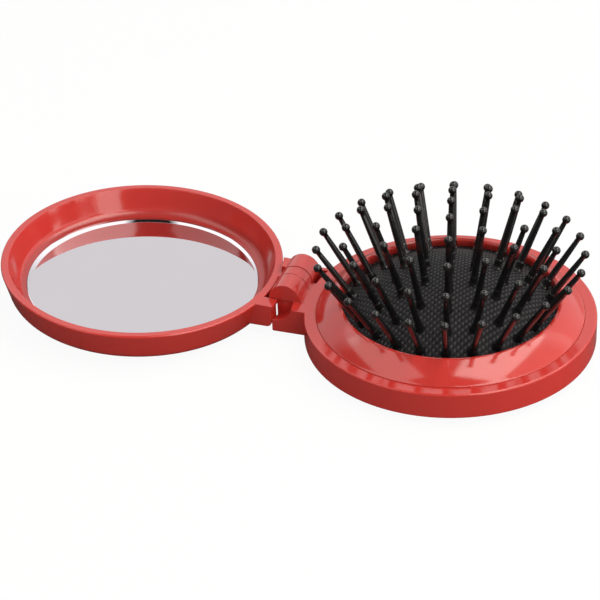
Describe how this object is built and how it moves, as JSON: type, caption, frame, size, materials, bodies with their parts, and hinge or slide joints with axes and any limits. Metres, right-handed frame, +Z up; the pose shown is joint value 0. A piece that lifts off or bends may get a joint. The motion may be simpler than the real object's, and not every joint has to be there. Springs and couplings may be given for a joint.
{
  "type": "folding hairbrush with mirror",
  "caption": "Round pocket hairbrush: a domed rubber cushion of ball-tipped bristles in a shallow case, hinged to a dished lid that holds a round bevelled mirror.",
  "frame": {"origin": "centre of the push plate's flat underside, on the table that the open brush lies on", "axes": "+Z up the bristles, -X towards the open mirror lid, +Y along the hinge axis towards the back"},
  "size_m": [0.1363, 0.064, 0.0321],
  "materials": {
    "red_plastic": "glossy moulded red plastic",
    "cushion_rubber": "black rubber with a fine woven emboss",
    "bristle_nylon": "polished black nylon",
    "mirror_glass": "bevelled silvered glass",
    "tape": "double-sided adhesive foam",
    "pin_steel": "drawn steel wire"
  },
  "bodies": {
    "base": {"base_ring": "red_plastic", "collar": "red_plastic", "cushion_clamp_ring": "red_plastic", "hinge_pin": "pin_steel"},
    "lid": {"lid_shell": "red_plastic", "mirror": "mirror_glass", "mirror_tape": "tape"},
    "button": {"push_plate": "red_plastic"},
    "pad": {"rubber_cushion": "cushion_rubber", "bristle_centre": "bristle_nylon", "bristles_ring_1": "bristle_nylon", "bristles_ring_2": "bristle_nylon", "bristles_ring_3": "bristle_nylon", "bristles_ring_4": "bristle_nylon"}
  },
  "joints": [
    {"name": "lid_hinge", "type": "hinge", "parent": "base", "child": "lid", "pos_m": [-0.0362, 0, 0.0077], "axis": [0, 1, 0], "range_deg": [0, 176.96]},
    {"name": "plate_slide", "type": "slide", "parent": "base", "child": "button", "axis": [0, 0, -1], "range_m": [0, 0.0048]},
    {"name": "cushion_pop", "type": "slide", "parent": "base", "child": "pad", "axis": [0, 0, -1], "range_m": [0, 0.01885], "deforming": ["rubber_cushion", "bristle_centre", "bristles_ring_1", "bristles_ring_2", "bristles_ring_3", "bristles_ring_4"]}
  ],
  "couplings": [
    {"joint": "plate_slide", "follows": "lid_hinge", "m_per_rad": 0.001553},
    {"joint": "cushion_pop", "follows": "lid_hinge", "m_per_rad": 0.0061}
  ]
}
